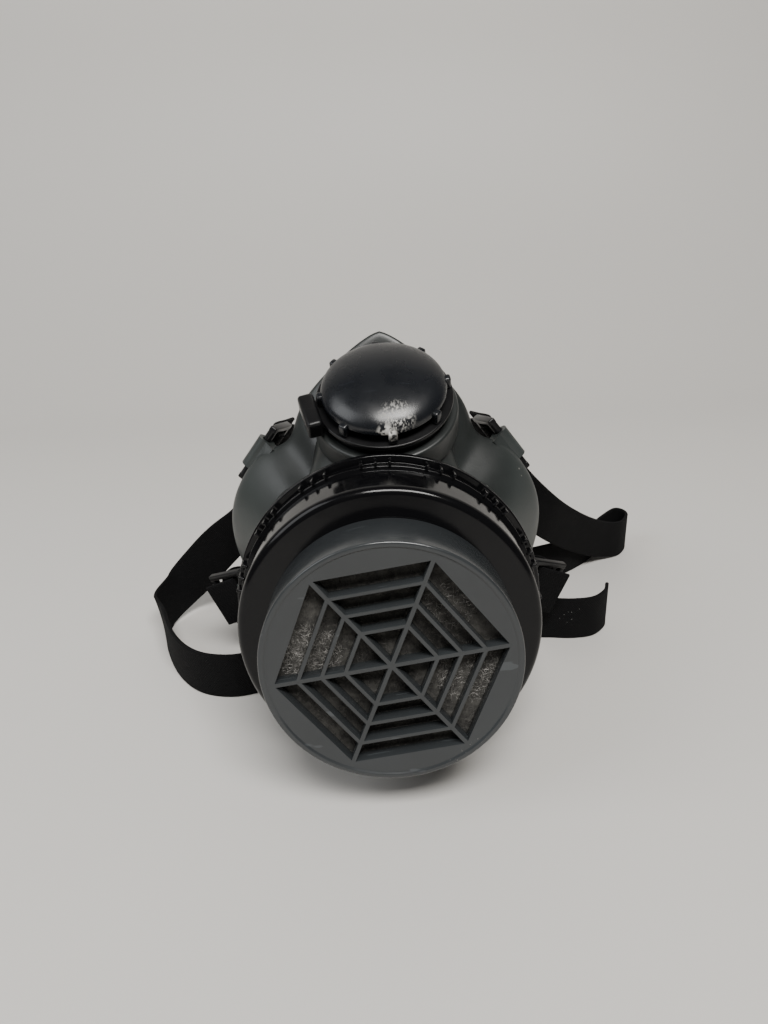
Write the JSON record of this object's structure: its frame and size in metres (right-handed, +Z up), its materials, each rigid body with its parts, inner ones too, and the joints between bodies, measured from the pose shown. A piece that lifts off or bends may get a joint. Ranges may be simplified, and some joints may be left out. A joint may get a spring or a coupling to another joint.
{
  "type": "half-mask respirator",
  "caption": "Elastomer half mask with a large round screw-on cartridge, clip-on grille cap, domed exhalation valve and elastic strap harness.",
  "frame": {"origin": "middle of the bounding box on the floor that the respirator lies on", "axes": "+Z up, -Y the way the cartridge faces, +X to the right of someone who looks at the cartridge"},
  "size_m": [0.2396, 0.2002, 0.1381],
  "materials": {
    "cap_grey": "satin dark grey moulded plastic",
    "black_gloss": "gloss black moulded plastic, scuffed",
    "black_plastic": "satin black moulded plastic",
    "mask_rubber": "satin dark grey rubber",
    "flap_rubber": "thin pale silicone",
    "gasket": "black rubber",
    "pad": "coarse grey-brown fibre pad",
    "paper": "off-white filter paper",
    "carbon": null,
    "screen": "perforated steel",
    "webbing": "black elastic webbing"
  },
  "bodies": {
    "mask": {"facepiece": "mask_rubber", "filter_socket": "black_plastic", "socket_nut": "black_plastic", "inhale_seat": "black_plastic", "exhale_housing": "black_plastic", "exhale_seat": "black_plastic", "strap_left": "webbing", "strap_right": "webbing", "strap_neck": "webbing", "strap_tail": "webbing"},
    "gasket": {"filter_gasket": "gasket"},
    "cartridge": {"cartridge_shell": "black_gloss", "cartridge_base": "black_plastic", "front_screen": "screen", "carbon_bed": "carbon", "rear_screen": "screen", "particulate_disc": "paper"},
    "prefilter": {"prefilter_cap": "cap_grey", "prefilter_pad": "pad"},
    "inhale_flap": {"inhale_flap": "flap_rubber"},
    "exhale_flap": {"exhale_flap": "flap_rubber"},
    "exhale_cap": {"exhale_cap": "black_gloss"},
    "buckle_upper_left": {"buckle_upper_left": "black_plastic"},
    "buckle_upper_right": {"buckle_upper_right": "black_plastic"},
    "buckle_lower_left": {"buckle_lower_left": "black_plastic"},
    "buckle_lower_right": {"buckle_lower_right": "black_plastic"}
  },
  "joints": [
    {"name": "cartridge_travel", "type": "slide", "parent": "mask", "child": "gasket", "axis": [0, -0.9969, 0.0785], "range_m": [0, 0.011]},
    {"name": "cartridge_turn", "type": "hinge", "parent": "gasket", "child": "cartridge", "pos_m": [-0.01201, -0.09717, 0.05691], "axis": [0, -0.9969, 0.0785], "range_deg": [0, 1080]},
    {"name": "prefilter_cap_pull", "type": "slide", "parent": "cartridge", "child": "prefilter", "axis": [0, -0.9969, 0.0785], "range_m": [0, 0.012]},
    {"name": "inhale_flap_lift", "type": "slide", "parent": "mask", "child": "inhale_flap", "axis": [0, 0.9969, -0.0785], "range_m": [0, 0.0012], "stiffness_N_per_m": 15},
    {"name": "exhale_flap_lift", "type": "slide", "parent": "mask", "child": "exhale_flap", "axis": [-0.036, -0.4982, 0.8663], "range_m": [0, 0.0012], "stiffness_N_per_m": 15},
    {"name": "exhale_cap_turn", "type": "hinge", "parent": "mask", "child": "exhale_cap", "pos_m": [-0.01121, -0.02596, 0.12351], "axis": [-0.036, -0.4982, 0.8663], "range_deg": [0, 40]},
    {"name": "buckle_upper_left_swing", "type": "hinge", "parent": "mask", "child": "buckle_upper_left", "pos_m": [-0.06085, -0.00291, 0.09372], "axis": [0.6018, 0, 0.7986], "range_deg": [-20, 20], "deforming": ["strap_left"]},
    {"name": "buckle_upper_right_swing", "type": "hinge", "parent": "mask", "child": "buckle_upper_right", "pos_m": [0.03683, -0.00291, 0.09372], "axis": [0.6018, 0, -0.7986], "range_deg": [-20, 20], "deforming": ["strap_right"]},
    {"name": "buckle_lower_left_swing", "type": "hinge", "parent": "mask", "child": "buckle_lower_left", "pos_m": [-0.06928, -0.00612, 0.0326], "axis": [-0.3907, 0, 0.9205], "range_deg": [-20, 20], "deforming": ["strap_neck"]},
    {"name": "buckle_lower_right_swing", "type": "hinge", "parent": "mask", "child": "buckle_lower_right", "pos_m": [0.04526, -0.00612, 0.0326], "axis": [-0.3907, 0, -0.9205], "range_deg": [-20, 20]}
  ],
  "couplings": [
    {"joint": "cartridge_travel", "follows": "cartridge_turn", "m_per_rad": 0.00057773}
  ]
}
